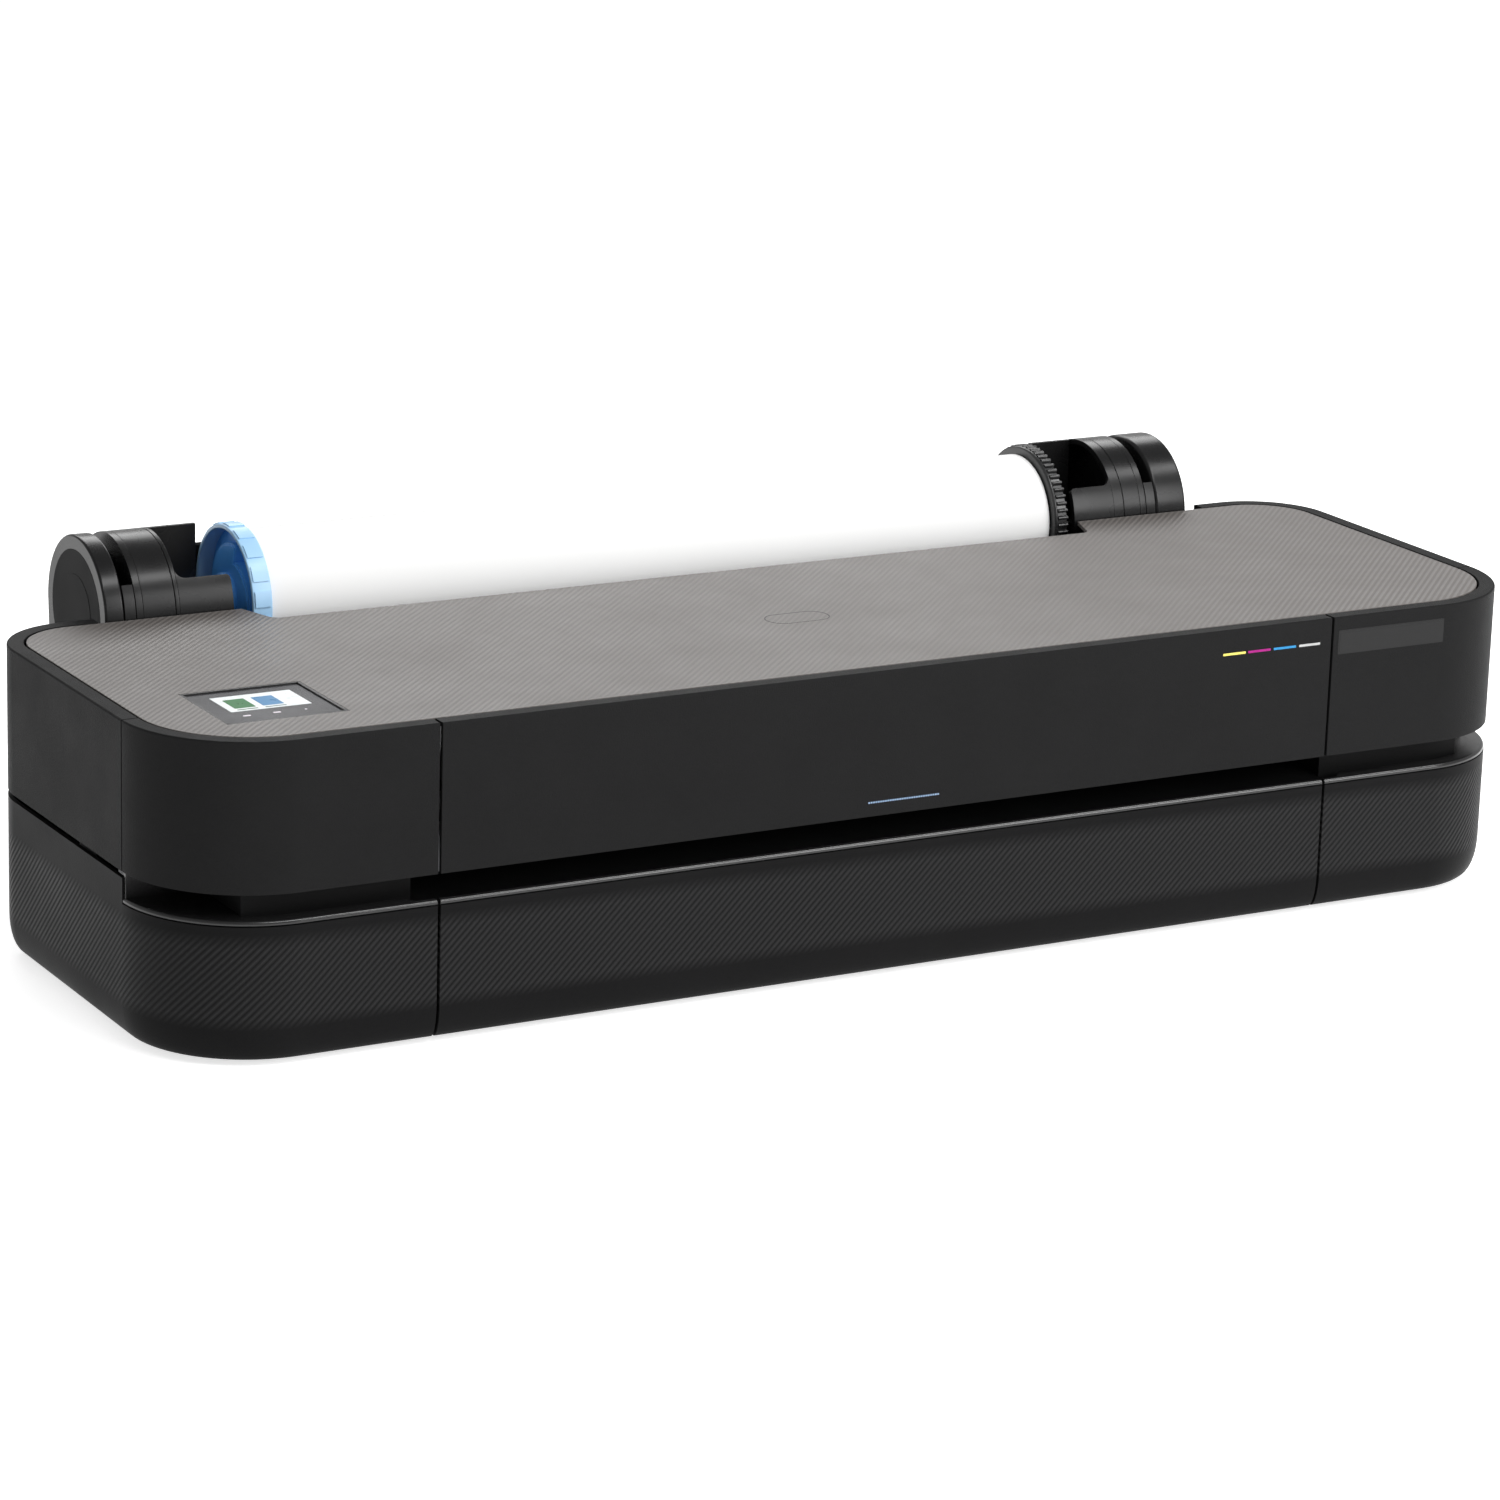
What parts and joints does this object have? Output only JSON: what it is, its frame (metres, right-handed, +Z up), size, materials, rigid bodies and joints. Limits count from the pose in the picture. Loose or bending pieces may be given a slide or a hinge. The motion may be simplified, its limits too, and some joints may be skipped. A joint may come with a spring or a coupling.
{
  "type": "large format plotter",
  "caption": "Desktop roll-fed inkjet plotter: a low rounded body with a lid, a touch panel, a front paper outlet, swinging doors and a rear roll held between drums under a turning cover.",
  "frame": {"origin": "on the supporting surface, under the middle of the overall box", "axes": "+X to the right seen from the front, -Y out of the front face, +Z up"},
  "size_m": [1.013, 0.418, 0.2535],
  "materials": {
    "charcoal_shell": "fine moulded grain, satin",
    "taupe_lid": "warm grey with a fine diagonal line texture",
    "black_trim": "glossy black",
    "shadow_plastic": "dull black inner mouldings",
    "holder_plastic": "polished dark grey",
    "panel_glass": "smooth touch screen lens",
    "hub_blue": "translucent-looking bright blue",
    "paper": "bright white coated paper",
    "card": "spiral wound core",
    "steel": "ground",
    "zinc_sheet": "zinc plated sheet",
    "rubber": "dull black",
    "board_green": "printed circuit board",
    "grey_plastic": "plain moulded grey",
    "ink_black": "cartridge",
    "ink_cyan": "cartridge with a cyan label",
    "ink_magenta": "cartridge with a magenta label",
    "ink_yellow": "cartridge with a yellow label"
  },
  "bodies": {
    "frame": {"left_corner_cover": "charcoal_shell", "left_side_panel": "charcoal_shell", "right_side_panel": "charcoal_shell", "top_cover": "taupe_lid", "panel_bezel": "black_trim", "panel_glass": "panel_glass", "lower_cover_left": "charcoal_shell", "lower_cover_right": "charcoal_shell", "lower_cover_front": "charcoal_shell", "lip_left": "black_trim", "lip_right": "black_trim", "lip_front": "black_trim", "platen": "shadow_plastic", "rear_housing": "charcoal_shell", "base_tray": "charcoal_shell", "foot_front_left": "rubber", "foot_front_right": "rubber", "foot_rear_left": "rubber", "foot_rear_right": "rubber", "power_inlet": "black_trim", "port_block": "black_trim", "pocket_wall": "shadow_plastic", "roll_trough": "charcoal_shell", "roll_holder_left": "holder_plastic", "roll_holder_right": "holder_plastic", "holder_cap_left": "charcoal_shell", "holder_cap_right": "charcoal_shell", "chassis_frame": "zinc_sheet", "feed_motor": "steel", "carriage_rod": "steel", "carriage_belt": "rubber", "carriage_motor": "steel", "cutter_rail": "steel", "service_station": "grey_plastic", "cartridge_bay": "shadow_plastic", "main_board": "board_green", "power_supply": "zinc_sheet"},
    "front_door": {"front_door": "charcoal_shell"},
    "ink_door": {"ink_door": "charcoal_shell"},
    "roll": {"paper_roll": "paper", "roll_core": "card", "left_hub": "hub_blue", "right_hub": "black_trim"},
    "drive_pinion": {"drive_pinion": "grey_plastic"},
    "roll_cover": {"roll_cover": "charcoal_shell"},
    "feed_roller": {"feed_roller": "rubber"},
    "feed_pinion": {"feed_pinion": "grey_plastic"},
    "pinch_roller": {"pinch_roller": "grey_plastic"},
    "exit_roller": {"exit_roller": "rubber"},
    "carriage": {"carriage": "black_trim", "printhead": "grey_plastic"},
    "drive_pulley": {"drive_pulley": "steel"},
    "idler_pulley": {"idler_pulley": "steel"},
    "cutter": {"cutter": "grey_plastic"},
    "cartridge_black": {"cartridge_black": "ink_black"},
    "cartridge_cyan": {"cartridge_cyan": "ink_cyan"},
    "cartridge_magenta": {"cartridge_magenta": "ink_magenta"},
    "cartridge_yellow": {"cartridge_yellow": "ink_yellow"}
  },
  "joints": [
    {"name": "front_door_hinge", "type": "hinge", "parent": "frame", "child": "front_door", "pos_m": [0, -0.2, 0.2055], "axis": [-1, 0, 0], "range_deg": [0, 80]},
    {"name": "ink_door_hinge", "type": "hinge", "parent": "frame", "child": "ink_door", "pos_m": [0.42, -0.2075, 0.113], "axis": [1, 0, 0], "range_deg": [0, 88]},
    {"name": "roll_spin", "type": "hinge", "parent": "frame", "child": "roll", "pos_m": [0, 0.148, 0.2025], "axis": [1, 0, 0], "continuous": true},
    {"name": "drive_pinion_spin", "type": "hinge", "parent": "frame", "child": "drive_pinion", "pos_m": [0, 0.09407, 0.17136], "axis": [1, 0, 0], "continuous": true},
    {"name": "roll_cover_hinge", "type": "hinge", "parent": "frame", "child": "roll_cover", "pos_m": [0, 0.148, 0.2025], "axis": [1, 0, 0], "range_deg": [0, 120]},
    {"name": "feed_spin", "type": "hinge", "parent": "frame", "child": "feed_roller", "pos_m": [0, -0.049, 0.088], "axis": [1, 0, 0], "continuous": true},
    {"name": "feed_pinion_spin", "type": "hinge", "parent": "frame", "child": "feed_pinion", "pos_m": [-0.44, -0.0171, 0.088], "axis": [1, 0, 0], "continuous": true},
    {"name": "pinch_spin", "type": "hinge", "parent": "frame", "child": "pinch_roller", "pos_m": [0, -0.049, 0.1063], "axis": [1, 0, 0], "continuous": true},
    {"name": "exit_spin", "type": "hinge", "parent": "frame", "child": "exit_roller", "pos_m": [0, -0.145, 0.094], "axis": [1, 0, 0], "continuous": true},
    {"name": "carriage_slide", "type": "slide", "parent": "frame", "child": "carriage", "axis": [-1, 0, 0], "range_m": [0, 0.78]},
    {"name": "drive_pulley_spin", "type": "hinge", "parent": "frame", "child": "drive_pulley", "pos_m": [-0.428, 0.003, 0.174], "axis": [0, 0, -1], "range_deg": [-60, 5000]},
    {"name": "idler_pulley_spin", "type": "hinge", "parent": "frame", "child": "idler_pulley", "pos_m": [0.428, 0.003, 0.174], "axis": [0, 0, -1], "range_deg": [-60, 5000]},
    {"name": "cutter_slide", "type": "slide", "parent": "frame", "child": "cutter", "axis": [1, 0, 0], "range_m": [0, 0.644]},
    {"name": "cartridge_black_slide", "type": "slide", "parent": "frame", "child": "cartridge_black", "axis": [0, -1, 0], "range_m": [0, 0.009]},
    {"name": "cartridge_cyan_slide", "type": "slide", "parent": "frame", "child": "cartridge_cyan", "axis": [0, -1, 0], "range_m": [0, 0.009]},
    {"name": "cartridge_magenta_slide", "type": "slide", "parent": "frame", "child": "cartridge_magenta", "axis": [0, -1, 0], "range_m": [0, 0.009]},
    {"name": "cartridge_yellow_slide", "type": "slide", "parent": "frame", "child": "cartridge_yellow", "axis": [0, -1, 0], "range_m": [0, 0.009]}
  ],
  "couplings": [
    {"joint": "drive_pinion_spin", "follows": "roll_spin", "ratio": -4},
    {"joint": "feed_pinion_spin", "follows": "feed_spin", "ratio": -3.2},
    {"joint": "pinch_spin", "follows": "feed_spin", "ratio": -2},
    {"joint": "exit_spin", "follows": "feed_spin", "ratio": 2},
    {"joint": "drive_pulley_spin", "follows": "carriage_slide", "rad_per_m": 110.5},
    {"joint": "idler_pulley_spin", "follows": "carriage_slide", "rad_per_m": 110.5}
  ]
}
